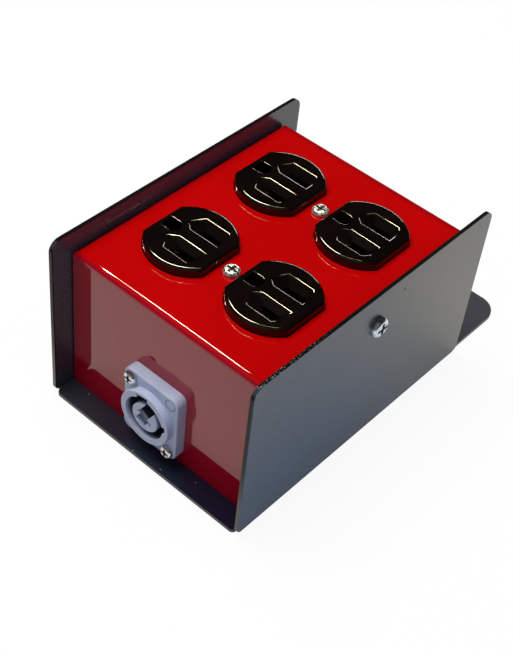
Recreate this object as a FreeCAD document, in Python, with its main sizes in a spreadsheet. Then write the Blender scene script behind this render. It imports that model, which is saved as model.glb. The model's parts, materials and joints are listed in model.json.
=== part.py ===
"""Portable power box: a red cover with two duplex outlets and two panel connectors in a black cradle.

Millimetres. The origin is the middle of the cradle's underside, X runs across the box,
Y along it from the link connector to the inlet connector, and Z up.
"""
import FreeCAD, Part
import Sketcher
import math
import os
import re

Vector = FreeCAD.Vector
Rotation = FreeCAD.Rotation

SIZES = {
    # cradle: one sheet bent to a base and two side walls, with a tab at the inlet end
    "cradle_width": 94,
    "cradle_length": 130,
    "cradle_height": 74.5,
    "cradle_gauge": 1.5,
    "cradle_bend": 0.4,
    "wall_corner": 4.5,
    "toe_corner": 1.8,
    "relief_length": 2.0,
    "tab_reach": 33.2,
    "tab_inset": 1.3,
    "tab_corner": 8.5,
    # cover: one sheet bent to a top and four flanges, with a seam at each corner
    "cover_gap": 0.1,
    "cover_length": 112,
    "cover_height": 65.6,
    "cover_gauge": 1.5,
    "cover_bend": 1.5,
    "corner_seam": 0.4,
    # side screws and the clinch nuts in the cover's side flanges
    "side_screw_height": 59,
    "side_shank": 4.0,
    "side_hole": 4.6,
    "side_reach": 9.2,
    "side_head": 8.0,
    "side_head_rise": 2.4,
    "nut_neck": 5.6,
    "nut_body": 8.6,
    "nut_depth": 3.8,
    "thread_gap": 0.05,
    # duplex outlets: round faces with two flats, on a plate, a strap and a rear body
    "duplex_pitch": 47.6,
    "outlet_pitch": 38.9,
    "face_diameter": 34.1,
    "face_flats": 28.6,
    "face_rise": 3.6,
    "face_edge": 1.2,
    "opening_gap": 0.25,
    "plate_length": 69,
    "plate_width": 35.5,
    "plate_thickness": 1.5,
    "ear_gap": 1.9,
    "body_width": 33.5,
    "body_depth": 24,
    "body_edge": 1.5,
    "strap_end_gap": 1.5,
    "strap_width": 9,
    "strap_corner": 3,
    "strap_gauge": 1.2,
    "seat_gap": 0.1,
    "shank_gap": 0.2,
    # blade slots, ground holes and the funnels that lead a blade into its slot
    "blade_pitch": 12.7,
    "blade_offset": 3.4,
    "slot_width": 2.2,
    "line_slot": 6.8,
    "neutral_slot": 8.4,
    "ground_offset": 8.5,
    "ground_radius": 2.75,
    "ground_tail": 3.6,
    "ground_rim": 0.4,
    "funnel_depth": 2.4,
    "funnel_inner": 2.8,
    "funnel_outer": 10.8,
    "funnel_end": 9.8,
    "funnel_corner": 2.0,
    "funnel_knee": 3.0,
    "funnel_tip": 6.5,
    "funnel_tip_side": 5.3,
    "funnel_shoulder": 2.9,
    "funnel_rim": 1.0,
    # contacts, clips and terminals in the outlets
    "contact_gauge": 0.8,
    "contact_grip": 1.6,
    "jaw_length": 7.6,
    "jaw_height": 13,
    "chamber_depth": 18.5,
    "chamber_gap": 0.35,
    "arm_width": 8,
    "terminal_length": 32,
    "terminal_height": 12,
    "terminal_pitch": 20,
    "terminal_rise": 7,
    "terminal_shank": 3.8,
    "terminal_head": 7.5,
    "terminal_head_rise": 2.2,
    "terminal_grip": 6,
    "clip_bore": 4.9,
    "clip_wall": 0.7,
    "clip_length": 12,
    "bond_inset": 3.7,
    "bond_shank": 3.6,
    "bond_head": 6.8,
    # screws that hold the outlets to the cover
    "outlet_shank": 3.5,
    "outlet_hole": 3.9,
    "outlet_reach": 10.5,
    "outlet_head": 6.4,
    "outlet_head_rise": 1.7,
    # panel connectors
    "connector_shift": 1.0,
    "connector_height": 21.5,
    "flange_width": 26,
    "flange_height": 31,
    "flange_depth": 4.5,
    "flange_corner": 3.2,
    "flange_edge": 0.7,
    "bezel_diameter": 23.2,
    "bezel_rise": 3.0,
    "bezel_edge": 0.5,
    "mouth_diameter": 18.0,
    "barrel_diameter": 23.4,
    "barrel_depth": 22,
    "barrel_gap": 0.3,
    "key_depth": 1.3,
    "wide_key": 5.4,
    "wide_key_angle": 98,
    "narrow_key": 3.5,
    "narrow_key_angle": 6,
    "insert_base": 6,
    "post_diameter": 12.2,
    "post_setback": 0.3,
    "post_edge": 0.4,
    "post_slot": 4.5,
    "post_slot_depth": 9,
    "post_slot_shift": 1.1,
    "post_shelf_depth": 1.6,
    "post_shelf_reach": 4.4,
    "post_cross": 1.3,
    "post_cross_length": 7.5,
    "post_angle": 58,
    "pin_ring": 5.3,
    "pin_width": 4.0,
    "pin_gauge": 0.8,
    "pin_setback": 3.5,
    "pin_tail": 8.5,
    "pin_skin": 2.5,
    "blank_radius": 2.3,
    "blank_groove": 0.25,
    "slit_length": 2.6,
    "slit_width": 0.8,
    # screws and nuts of the connector flanges
    "flange_pitch_x": 19,
    "flange_pitch_z": 24,
    "flange_shank": 2.9,
    "flange_hole": 3.3,
    "flange_reach": 10,
    "flange_head": 5.5,
    "flange_head_rise": 1.8,
    "hex_flats": 5.5,
    "hex_depth": 2.4,
    # recesses and rounds of the screw heads, as shares of a head's diameter and rise
    "recess_width": 0.17,
    "recess_share": 0.66,
    "recess_depth": 1.1,
    "head_round": 0.68,
    # wires and their push-on terminals
    "wire_diameter": 3.0,
    "strand_diameter": 1.8,
    "sleeve_wall": 0.5,
    "sleeve_length": 8,
    "wire_lead": 9,
    "wire_aside": 20,
    "wire_bow": 4,
    "wire_bend": 6.5,
    "wire_rise": 3.5,
    "wire_drop": 9.5,
}

# share of a wire's shorter run that a bend takes up
BEND_SHARE = 0.45
# turns, in degrees, of the flats that make up the rounded rim of a funnel
RIM_TURNS = (0, 15, 30, 45)
# how far apart two points may be and still count as one place
SAME_PLACE = 0.02

doc = FreeCAD.newDocument("power_box")
sheet = doc.addObject("Spreadsheet::Sheet", "size")
for row, (alias, number) in enumerate(SIZES.items(), 1):
    sheet.set(f"A{row}", alias)
    sheet.set(f"B{row}", str(number))
    sheet.setAlias(f"B{row}", alias)
doc.recompute()

# Formulas that several pieces share
COVER_HALF = "(cradle_width / 2 - cradle_gauge - cradle_bend - cover_gap)"
COVER_TOP = "(cradle_gauge + cover_height)"
COVER_UNDER = f"({COVER_TOP} - cover_gauge)"
PLATE_UNDER = f"({COVER_UNDER} - plate_thickness)"
STRAP_HALF = f"({COVER_HALF} - cover_gauge - strap_end_gap)"
EAR = f"({STRAP_HALF} - bond_inset)"
BODY_HALF = f"({EAR} - bond_head / 2 - ear_gap)"
STRAP_UNDER = f"({PLATE_UNDER} - strap_gauge)"
CHAMBER_FLOOR = f"({PLATE_UNDER} - chamber_depth)"
FACE_TOP = f"({COVER_TOP} + face_rise)"
CLAMP = "(strand_diameter + seat_gap)"
FRONT = "(flange_depth + bezel_rise)"
PIECES = []


def bind(formula):
    """A size formula in the sheet's own words."""
    def name(word):
        return f"size.{word[0]}" if word[0] in SIZES else word[0]

    return re.sub(r"[a-z][a-z_]+", name, str(formula))


def value(formula):
    return float(sheet.evalExpression(bind(formula)))


def keep(piece, label):
    """Name a finished piece, so that it is written out."""
    piece.Label = label
    PIECES.append(piece)
    return piece


def place(piece, x="0", y="0", z="0", turn=0):
    """Set a piece at a point given by size formulas, turned about Z."""
    piece.Placement = FreeCAD.Placement(Vector(), Rotation(Vector(0, 0, 1), turn))
    for axis, formula in zip("xyz", (x, y, z)):
        piece.setExpression(f"Placement.Base.{axis}", bind(formula))
    return piece


def new_body(name):
    return doc.addObject("PartDesign::Body", name)


def block(body, x, y, z, cut=False, spin=None):
    """A box between pairs of size formulas. Spin turns it about the body's Y axis, in degrees."""
    kind = "SubtractiveBox" if cut else "AdditiveBox"
    box = body.newObject(f"PartDesign::{kind}", "block")
    if spin is not None:
        box.Placement = FreeCAD.Placement(Vector(), Rotation(Vector(0, 1, 0), -value(spin)))
    for side, (low, high) in zip(("Length", "Width", "Height"), (x, y, z)):
        box.setExpression(side, bind(f"({high}) - ({low})"))
    corner = [low for low, high in (x, y, z)]
    if spin is not None:
        cos, sin = f"cos({spin})", f"sin({spin})"
        across, up = corner[0], corner[2]
        corner[0] = f"({across}) * {cos} - ({up}) * {sin}"
        corner[2] = f"({across}) * {sin} + ({up}) * {cos}"
    for axis, formula in zip("xyz", corner):
        box.setExpression(f"Placement.Base.{axis}", bind(formula))
    return box


AXES = {"x": Rotation(Vector(0, 1, 0), 90), "y": Rotation(Vector(1, 0, 0), -90), "z": Rotation()}


def rod(body, axis, diameter, span, x="0", y="0", z="0", cut=False):
    """A cylinder along an axis of its body, over a pair of size formulas."""
    kind = "SubtractiveCylinder" if cut else "AdditiveCylinder"
    cylinder = body.newObject(f"PartDesign::{kind}", "rod")
    cylinder.Placement = FreeCAD.Placement(Vector(), AXES[axis])
    cylinder.setExpression("Radius", bind(f"({diameter}) / 2"))
    cylinder.setExpression("Height", bind(f"({span[1]}) - ({span[0]})"))
    base = {"x": x, "y": y, "z": z, axis: span[0]}
    for name, formula in base.items():
        cylinder.setExpression(f"Placement.Base.{name}", bind(formula))
    return cylinder


def new_sketch(body, role, offset="0"):
    """A sketch on one of the body's origin planes, moved along the plane's normal."""
    sketch = body.newObject("Sketcher::SketchObject", "sketch")
    plane = [feature for feature in body.Origin.OriginFeatures if feature.Role == role][0]
    sketch.AttachmentSupport = (plane, [""])
    sketch.MapMode = "FlatFace"
    sketch.setExpression("AttachmentOffset.Base.z", bind(offset))
    return sketch


def pin_point(sketch, geometry, position, x, y):
    """Tie a sketch point to size formulas measured from the sketch's origin."""
    for kind, formula in (("DistanceX", x), ("DistanceY", y)):
        index = sketch.addConstraint(Sketcher.Constraint(kind, -1, 1, geometry, position, value(formula)))
        sketch.setExpression(f"Constraints[{index}]", bind(formula))


def outline(sketch, points):
    """A closed straight-sided outline through points given by size formulas."""
    corners = [Vector(value(x), value(y), 0) for x, y in points]
    first = sketch.GeometryCount
    count = len(points)
    for k in range(count):
        sketch.addGeometry(Part.LineSegment(corners[k], corners[(k + 1) % count]), False)
    for k in range(count):
        sketch.addConstraint(Sketcher.Constraint("Coincident", first + k, 2, first + (k + 1) % count, 1))
    for k, (x, y) in enumerate(points):
        pin_point(sketch, first + k, 1, x, y)
    return sketch


def rectangle(sketch, x, y):
    return outline(sketch, [(x[0], y[0]), (x[1], y[0]), (x[1], y[1]), (x[0], y[1])])


def circle(sketch, x, y, diameter):
    centre = Vector(value(x), value(y), 0)
    index = sketch.addGeometry(Part.Circle(centre, Vector(0, 0, 1), value(diameter) / 2), False)
    pin_point(sketch, index, 3, x, y)
    limit = sketch.addConstraint(Sketcher.Constraint("Diameter", index, value(diameter)))
    sketch.setExpression(f"Constraints[{limit}]", bind(diameter))
    return sketch


def flatted_circle(sketch, x, diameter, flats):
    """A circle centred on the sketch's X axis, cut by two flats across that axis."""
    radius, half = value(diameter) / 2, value(flats) / 2
    centre = Vector(value(x), 0, 0)
    edge = math.acos(half / radius)
    rise = radius * math.sin(edge)
    ring = Part.Circle(centre, Vector(0, 0, 1), radius)
    lower, upper = centre + Vector(half, -rise), centre + Vector(half, rise)
    right = sketch.addGeometry(Part.LineSegment(lower, upper), False)
    top = sketch.addGeometry(Part.ArcOfCircle(ring, edge, math.pi - edge), False)
    upper, lower = centre + Vector(-half, rise), centre + Vector(-half, -rise)
    left = sketch.addGeometry(Part.LineSegment(upper, lower), False)
    low = sketch.addGeometry(Part.ArcOfCircle(ring, math.pi + edge, 2 * math.pi - edge), False)
    for here, there in ((right, top), (top, left), (left, low), (low, right)):
        sketch.addConstraint(Sketcher.Constraint("Coincident", here, 2, there, 1))
    sketch.addConstraint(Sketcher.Constraint("Coincident", low, 3, top, 3))
    pin_point(sketch, top, 3, x, "0")
    limit = sketch.addConstraint(Sketcher.Constraint("Diameter", top, 2 * radius))
    sketch.setExpression(f"Constraints[{limit}]", bind(diameter))
    for line, sign in ((right, "+"), (left, "-")):
        sketch.addConstraint(Sketcher.Constraint("Vertical", line))
        formula = f"({x}) {sign} ({flats}) / 2"
        index = sketch.addConstraint(Sketcher.Constraint("DistanceX", -1, 1, line, 1, value(formula)))
        sketch.setExpression(f"Constraints[{index}]", bind(formula))
    return sketch


def arch(sketch, x, y, radius, tail):
    """A hole with a round end toward +X and a flat end toward -X."""
    centre = Vector(value(x), value(y), 0)
    size, back = value(radius), value(tail)
    ring = Part.Circle(centre, Vector(0, 0, 1), size)
    bow = sketch.addGeometry(Part.ArcOfCircle(ring, -math.pi / 2, math.pi / 2), False)
    corners = ((0, size), (-back, size), (-back, -size), (0, -size))
    ends = [centre + Vector(across, up) for across, up in corners]
    sides = [sketch.addGeometry(Part.LineSegment(ends[k], ends[k + 1]), False) for k in range(3)]
    chain = [bow] + sides
    for k in range(4):
        sketch.addConstraint(Sketcher.Constraint("Coincident", chain[k], 2, chain[(k + 1) % 4], 1))
    pin_point(sketch, bow, 3, x, y)
    for end in (1, 2):
        sketch.addConstraint(Sketcher.Constraint("Vertical", bow, 3, bow, end))
    sketch.addConstraint(Sketcher.Constraint("Horizontal", sides[0]))
    sketch.addConstraint(Sketcher.Constraint("Vertical", sides[1]))
    sketch.addConstraint(Sketcher.Constraint("Horizontal", sides[2]))
    limit = sketch.addConstraint(Sketcher.Constraint("Radius", bow, size))
    sketch.setExpression(f"Constraints[{limit}]", bind(radius))
    formula = f"({x}) - ({tail})"
    index = sketch.addConstraint(Sketcher.Constraint("DistanceX", -1, 1, sides[1], 1, value(formula)))
    sketch.setExpression(f"Constraints[{index}]", bind(formula))
    return sketch


def pad(body, sketch, length, symmetric=False, reverse=False):
    feature = body.newObject("PartDesign::Pad", "pad")
    feature.Profile = sketch
    feature.setExpression("Length", bind(length))
    feature.SideType = "Symmetric" if symmetric else "One side"
    feature.Reversed = reverse
    return feature


def pocket(body, sketch, length=None, symmetric=False, reverse=False):
    """Cut a sketch into the body, through everything when no depth is given."""
    feature = body.newObject("PartDesign::Pocket", "pocket")
    feature.Profile = sketch
    feature.SideType = "Symmetric" if symmetric else "One side"
    feature.Type = "Length" if length else "ThroughAll"
    if length:
        feature.setExpression("Length", bind(length))
    feature.Reversed = reverse
    return feature


def soften(body, radius, chosen):
    """Round the edges of the body that the test chooses by their middle and direction."""
    doc.recompute()
    base = body.Tip
    names = []
    for number, edge in enumerate(base.Shape.Edges, 1):
        middle = edge.valueAt((edge.FirstParameter + edge.LastParameter) / 2)
        along = edge.tangentAt((edge.FirstParameter + edge.LastParameter) / 2)
        if chosen(middle, along):
            names.append(f"Edge{number}")
    if not names:
        raise RuntimeError(f"no edge to round on {body.Name}")
    feature = body.newObject("PartDesign::Fillet", "rounding")
    feature.Base = (base, names)
    feature.setExpression("Radius", bind(radius))
    doc.recompute()
    return feature


def near(number, formula):
    return abs(number - value(formula)) < SAME_PLACE


def across(direction):
    return abs(direction.x) > abs(direction.y) + abs(direction.z)


def upright(direction):
    return abs(direction.z) > abs(direction.x) + abs(direction.y)


def lengthwise(direction):
    return abs(direction.y) > abs(direction.x) + abs(direction.z)


def group(label, members):
    """Several like solids that share one name."""
    bundle = doc.addObject("Part::Compound", label)
    bundle.Links = members
    return keep(bundle, label)


def make_cradle():
    body = new_body("cradle")
    half, top, gauge = "cradle_width / 2", "cradle_height", "cradle_gauge"
    inner = f"({half} - {gauge})"
    profile = [(f"-{half}", "0"), (half, "0"), (half, top), (inner, top), (inner, gauge),
               (f"-{inner}", gauge), (f"-{inner}", top), (f"-{half}", top)]
    pad(body, outline(new_sketch(body, "XZ_Plane"), profile), "cradle_length", symmetric=True)
    soften(body, "cradle_bend + cradle_gauge", lambda at, along: near(at.z, "0") and near(abs(at.x), half))
    soften(body, "cradle_bend", lambda at, along: near(at.z, gauge) and near(abs(at.x), inner))
    # bend reliefs at the four ends of the two bends
    toe = "(cradle_gauge + cradle_bend)"
    end = "cradle_length / 2"
    for low, high in ((f"-{end}", f"-{end} + relief_length"), (f"{end} - relief_length", end)):
        block(body, (f"-{half}", f"-{half} + {toe}"), (low, high), ("0", toe), cut=True)
        block(body, (f"{half} - {toe}", half), (low, high), ("0", toe), cut=True)
    reach = f"({end} + tab_reach)"
    side = f"({half} - tab_inset)"
    tab = rectangle(new_sketch(body, "XY_Plane"), (f"-{side}", side), (f"{end}", reach))
    pad(body, tab, gauge)
    soften(body, "wall_corner", lambda at, along: across(along) and near(at.z, top) and near(abs(at.y), end))
    soften(body, "toe_corner", lambda at, along: across(along) and near(at.z, toe) and near(abs(at.y), end))
    soften(body, "toe_corner",
           lambda at, along: upright(along) and near(at.y, f"-{end}") and near(2 * at.z, gauge))
    soften(body, "tab_corner", lambda at, along: upright(along) and near(at.y, reach))
    holes = circle(new_sketch(body, "YZ_Plane"), "0", "side_screw_height", "side_hole")
    pocket(body, holes, symmetric=True)
    return keep(body, "cradle")


def make_cover():
    body = new_body("top_cover")
    half, end, bend = COVER_HALF, "cover_length / 2", "(cover_bend + cover_gauge)"
    inner, inner_end = f"({half} - cover_gauge)", f"({end} - cover_gauge)"
    plan = new_sketch(body, "XY_Plane", "cradle_gauge")
    pad(body, rectangle(plan, (f"-{half}", half), (f"-{end}", end)), "cover_height")
    soften(body, bend, lambda at, along: near(at.z, COVER_TOP))
    hollow = new_sketch(body, "XY_Plane", "cradle_gauge")
    rectangle(hollow, (f"-{inner}", inner), (f"-{inner_end}", inner_end))
    pocket(body, hollow, "cover_height - cover_gauge", reverse=True)
    soften(body, "cover_bend", lambda at, along: near(at.z, COVER_UNDER))
    # a seam down each corner, from the bends
    shoulder = f"({COVER_TOP} - {bend})"
    seams = ((f"-{inner_end}", f"-{inner_end} + corner_seam"), (f"{inner_end} - corner_seam", inner_end))
    for left, right in ((f"-{half}", f"-{inner}"), (inner, half)):
        for low, high in seams:
            block(body, (left, right), (low, high), ("cradle_gauge", shoulder), cut=True)
    for sign in ("-", ""):
        for face in ("-outlet_pitch / 2", "outlet_pitch / 2"):
            opening = new_sketch(body, "XY_Plane", COVER_TOP)
            opening.setExpression("AttachmentOffset.Base.y", bind(f"{sign}duplex_pitch / 2"))
            flatted_circle(opening, face, "face_diameter + 2 * opening_gap", "face_flats + 2 * opening_gap")
            pocket(body, opening, "cover_gauge")
        rod(body, "z", "outlet_hole", (COVER_UNDER, COVER_TOP), y=f"{sign}duplex_pitch / 2", cut=True)
    for sign, span in (("-", (f"-{end}", f"-{inner_end}")), ("", (inner_end, end))):
        middle = f"{sign}connector_shift"
        rod(body, "y", "barrel_diameter + 2 * barrel_gap", span, x=middle, z="connector_height", cut=True)
        for up, side in flange_corners(sign):
            rod(body, "y", "flange_hole", span, x=f"{middle} {side} flange_pitch_x / 2",
                z=f"connector_height {up} flange_pitch_z / 2", cut=True)
    for span in ((f"-{half}", f"-{inner}"), (inner, half)):
        rod(body, "x", "nut_neck + 2 * seat_gap", span, z="side_screw_height", cut=True)
    return keep(body, "top_cover")


def flange_corners(sign):
    """Signs of the two flange screws' offsets, up and across, at the link (-) or the inlet end."""
    return (("+", "-"), ("-", "+")) if sign == "-" else (("+", "+"), ("-", "-"))


def make_screw(label, shank, reach, head, rise):
    """A pan-head screw along Z, its head's seat at the body's origin, with a cross recess."""
    body = new_body(label)
    rod(body, "z", shank, (f"-({reach})", "0"))
    rod(body, "z", head, ("0", rise))
    soften(body, f"{rise} * head_round", lambda at, along: near(at.z, rise))
    half = f"({head}) * recess_share / 2"
    thin = f"({head}) * recess_width / 2"
    for x, y in ((half, thin), (thin, half)):
        block(body, (f"-{x}", x), (f"-{y}", y), (f"{rise} - recess_depth", rise), cut=True)
    return keep(body, label)


def seat(piece, toward, x="0", y="0", z="0"):
    """Set a screw at a point given by size formulas, its head looking along a direction."""
    piece.Placement = FreeCAD.Placement(Vector(), Rotation(Vector(0, 0, 1), toward))
    for axis, formula in zip("xyz", (x, y, z)):
        piece.setExpression(f"Placement.Base.{axis}", bind(formula))
    return piece


def make_side_screws():
    wall = "cradle_width / 2"
    size = ("side_shank", "side_reach", "side_head", "side_head_rise")
    seat(make_screw("side_screw_left", *size), Vector(-1, 0, 0), x=f"-{wall}", z="side_screw_height")
    seat(make_screw("side_screw_right", *size), Vector(1, 0, 0), x=wall, z="side_screw_height")
    nuts = []
    for sign in ("-", ""):
        nut = new_body("clinch_nut")
        inner = f"({COVER_HALF} - cover_gauge)"
        rod(nut, "x", "nut_body", ("-nut_depth", "0"))
        rod(nut, "x", "nut_neck", ("0", "cover_gauge"))
        rod(nut, "x", "side_shank + 2 * thread_gap", ("-nut_depth", "cover_gauge"), cut=True)
        place(nut, x=f"{sign}{inner}", z="side_screw_height", turn=180 if sign else 0)
        nuts.append(nut)
    group("clinch_nuts", nuts)


def make_outlet(name, middle):
    """One duplex outlet, centred at a formula along Y."""
    make_outlet_face(name, middle)
    make_outlet_body(name, middle)
    make_outlet_strap(name, middle)
    for side, sign in (("neutral", 1), ("line", -1)):
        make_contacts(f"{name}_{side}_contacts", middle, sign)
        make_terminal_screws(f"{name}_{side}_terminals", middle, sign)
    make_ground_clips(f"{name}_ground_clips", middle)
    screw = make_screw(f"{name}_screw", "outlet_shank", "outlet_reach", "outlet_head", "outlet_head_rise")
    seat(screw, Vector(0, 0, 1), y=middle, z=COVER_TOP)


FACES = ("-outlet_pitch / 2", "outlet_pitch / 2")


def blade(face):
    """Place of a face's two blades along X."""
    return f"({face} + blade_offset)"


def ground(face):
    return f"({face} - ground_offset)"


def make_outlet_face(name, middle):
    body = new_body(f"{name}_face")
    long, wide = "plate_length / 2", "plate_width / 2"
    plate = rectangle(new_sketch(body, "XY_Plane", PLATE_UNDER), (f"-{long}", long), (f"-{wide}", wide))
    pad(body, plate, "plate_thickness")
    for face in FACES:
        disc = flatted_circle(new_sketch(body, "XY_Plane", PLATE_UNDER), face, "face_diameter", "face_flats")
        pad(body, disc, f"{FACE_TOP} - {PLATE_UNDER}")
    soften(body, "face_edge", lambda at, along: near(at.z, FACE_TOP))
    for face in FACES:
        for side, slot in (("", "neutral_slot"), ("-", "line_slot")):
            carve_funnel(body, face, side, slot)
    for face in FACES:
        for side, slot in (("", "neutral_slot"), ("-", "line_slot")):
            x, y = blade(face), f"{side}blade_pitch / 2"
            block(body, (f"{x} - {slot} / 2", f"{x} + {slot} / 2"),
                  (f"{y} - slot_width / 2", f"{y} + slot_width / 2"), (PLATE_UNDER, FACE_TOP), cut=True)
        hole = arch(new_sketch(body, "XY_Plane", FACE_TOP), ground(face), "0", "ground_radius", "ground_tail")
        pocket(body, hole)
        middle_of_hole = Vector(value(ground(face)), 0, value(FACE_TOP))
        within = value("ground_tail") + SAME_PLACE
        soften(body, "ground_rim", lambda at, along: (at - middle_of_hole).Length < within)
    rod(body, "z", "outlet_hole", (PLATE_UNDER, COVER_UNDER), cut=True)
    place(body, y=middle)
    return keep(body, f"{name}_face")


def carve_funnel(body, face, side, slot):
    """A six-sided funnel with a rounded rim, from the face down to the mouth of a blade slot."""
    x, y = blade(face), "blade_pitch / 2"
    front, back = f"{x} + {slot} / 2", f"{x} - {slot} / 2"
    inner, outer = f"{y} - slot_width / 2", f"{y} + slot_width / 2"

    def mouth(grow):
        return [(f"{face} + funnel_end + {grow}", f"funnel_inner - {grow}"),
                (f"{face} + funnel_end + {grow}", f"funnel_outer - funnel_corner + {grow} / 2"),
                (f"{face} + funnel_end - funnel_corner + {grow} / 2", f"funnel_outer + {grow}"),
                (f"{face} - funnel_knee - {grow} / 2", f"funnel_outer + {grow}"),
                (f"{face} - funnel_tip - {grow}", "funnel_tip_side"),
                (f"{face} - funnel_shoulder - {grow} / 2", f"funnel_inner - {grow}")]

    levels = []
    for turn in RIM_TURNS:
        grow = f"(funnel_rim * (tan({RIM_TURNS[-1]} / 2) - sin({turn})))"
        levels.append((mouth(grow), f"funnel_rim * (1 - cos({turn}))"))
    throat = [(front, inner), (front, y), (f"{front} - slot_width / 2", outer),
              (f"{back} + slot_width / 2", outer), (back, y), (back, inner)]
    levels.append((throat, "funnel_depth"))
    sections = []
    for points, depth in levels:
        signed = [(px, f"{side}({py})") for px, py in points]
        sections.append(outline(new_sketch(body, "XY_Plane", f"{FACE_TOP} - {depth}"), signed))
    funnel = body.newObject("PartDesign::SubtractiveLoft", "funnel")
    funnel.Profile = sections[0]
    funnel.Sections = sections[1:]
    funnel.Ruled = True
    return funnel


def make_outlet_body(name, middle):
    body = new_body(f"{name}_body")
    long, wide = BODY_HALF, "body_width / 2"
    floor = f"({PLATE_UNDER} - body_depth)"
    block(body, (f"-{long}", long), (f"-{wide}", wide), (floor, PLATE_UNDER))
    soften(body, "body_edge", lambda at, along: near(at.z, floor))
    channel = "(strap_width / 2 + seat_gap)"
    block(body, (f"-{long}", long), (f"-{channel}", channel), (STRAP_UNDER, PLATE_UNDER), cut=True)
    screw_end = f"{COVER_TOP} - outlet_reach - chamber_gap"
    rod(body, "z", "outlet_shank + 2 * shank_gap", (screw_end, PLATE_UNDER), cut=True)
    for face in FACES:
        rod(body, "z", "clip_bore + 2 * clip_wall + 2 * chamber_gap",
            (f"{STRAP_UNDER} - clip_length - chamber_gap", PLATE_UNDER), x=ground(face), cut=True)
    for sign in (1, -1):
        low, high = jaw_span()
        first, last = f"{blade(FACES[0])} - jaw_length / 2", f"{blade(FACES[1])} + jaw_length / 2"
        sides = mirrored(f"{low} - chamber_gap", f"{high} + chamber_gap", sign)
        block(body, (f"{first} - chamber_gap", f"{last} + chamber_gap"), sides,
              (CHAMBER_FLOOR, PLATE_UNDER), cut=True)
        arm = "(arm_width / 2 + chamber_gap)"
        block(body, (f"-{arm}", arm), mirrored(low, wide, sign),
              (CHAMBER_FLOOR, f"{CHAMBER_FLOOR} + contact_gauge + chamber_gap"), cut=True)
        for x in ("-terminal_pitch / 2", "terminal_pitch / 2"):
            rod(body, "y", "terminal_shank + 2 * shank_gap",
                mirrored(f"{wide} - terminal_grip - chamber_gap", wide, sign),
                x=x, z=f"{CHAMBER_FLOOR} + terminal_rise", cut=True)
    place(body, y=middle)
    return keep(body, f"{name}_body")


def mirrored(low, high, sign):
    """A pair of formulas along Y, on the far (1) or the near (-1) side of the outlet."""
    return (low, high) if sign > 0 else (f"-({high})", f"-({low})")


def jaw_span():
    """Both leaves of a jaw along Y, about the blade between them."""
    half = "(contact_grip / 2 + contact_gauge)"
    return f"(blade_pitch / 2 - {half})", f"(blade_pitch / 2 + {half})"


def make_contacts(label, middle, sign):
    """A strip with two spring jaws, and an arm to the terminal plate on the side of the body."""
    body = new_body(label)
    low, high = jaw_span()
    wide = "body_width / 2"
    strip_top = f"({CHAMBER_FLOOR} + contact_gauge)"
    first, last = f"{blade(FACES[0])} - jaw_length / 2", f"{blade(FACES[1])} + jaw_length / 2"
    block(body, (first, last), mirrored(low, high, sign), (CHAMBER_FLOOR, strip_top))
    for face in FACES:
        x = blade(face)
        for leaf in ((low, f"{low} + contact_gauge"), (f"{high} - contact_gauge", high)):
            block(body, (f"{x} - jaw_length / 2", f"{x} + jaw_length / 2"), mirrored(*leaf, sign),
                  (CHAMBER_FLOOR, f"{strip_top} + jaw_height"))
    outside = f"{wide} + contact_gauge"
    block(body, ("-arm_width / 2", "arm_width / 2"), mirrored(low, outside, sign), (CHAMBER_FLOOR, strip_top))
    block(body, ("-terminal_length / 2", "terminal_length / 2"), mirrored(wide, outside, sign),
          (CHAMBER_FLOOR, f"{CHAMBER_FLOOR} + terminal_height"))
    for x in ("-terminal_pitch / 2", "terminal_pitch / 2"):
        rod(body, "y", "terminal_shank + 2 * thread_gap", mirrored(wide, outside, sign),
            x=x, z=f"{CHAMBER_FLOOR} + terminal_rise", cut=True)
    place(body, y=middle)
    return keep(body, label)


def make_terminal_screws(label, middle, sign):
    """The two wire screws on one side of an outlet, each open by the strand that it clamps."""
    screws = []
    seat_at = "(body_width / 2 + contact_gauge)"
    head_at = f"({seat_at} + {CLAMP})"
    for x in ("-terminal_pitch / 2", "terminal_pitch / 2"):
        screw = new_body("terminal_screw")
        rod(screw, "y", "terminal_shank", mirrored("body_width / 2 - terminal_grip", head_at, sign))
        rod(screw, "y", "terminal_head", mirrored(head_at, f"{head_at} + terminal_head_rise", sign))
        place(screw, x=x, y=middle, z=f"{CHAMBER_FLOOR} + terminal_rise")
        screws.append(screw)
    group(label, screws)


def make_outlet_strap(name, middle):
    """A flat strap between plate and body, and the bonding screw in its ear."""
    body = new_body(f"{name}_strap")
    long, wide = STRAP_HALF, "strap_width / 2"
    block(body, (f"-{long}", long), (f"-{wide}", wide), (STRAP_UNDER, PLATE_UNDER))
    soften(body, "strap_corner", lambda at, along: upright(along))
    rod(body, "z", "outlet_shank + 2 * thread_gap", (STRAP_UNDER, PLATE_UNDER), cut=True)
    rod(body, "z", "bond_shank + 2 * thread_gap", (STRAP_UNDER, PLATE_UNDER), x=EAR, cut=True)
    for face in FACES:
        rod(body, "z", "clip_bore", (STRAP_UNDER, PLATE_UNDER), x=ground(face), cut=True)
    place(body, y=middle)
    keep(body, f"{name}_strap")
    screw = new_body(f"{name}_bond_screw")
    head_at = f"({STRAP_UNDER} - {CLAMP})"
    rod(screw, "z", "bond_shank", (head_at, f"{COVER_UNDER} - chamber_gap"))
    rod(screw, "z", "bond_head", (f"{head_at} - terminal_head_rise", head_at))
    place(screw, x=EAR, y=middle)
    return keep(screw, f"{name}_bond_screw")


def make_ground_clips(label, middle):
    """A round spring clip under the strap at each ground hole."""
    clips = []
    for face in FACES:
        clip = new_body("ground_clip")
        span = (f"{STRAP_UNDER} - clip_length", STRAP_UNDER)
        rod(clip, "z", "clip_bore + 2 * clip_wall", span)
        rod(clip, "z", "clip_bore", span, cut=True)
        place(clip, x=ground(face), y=middle)
        clips.append(clip)
    group(label, clips)


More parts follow.
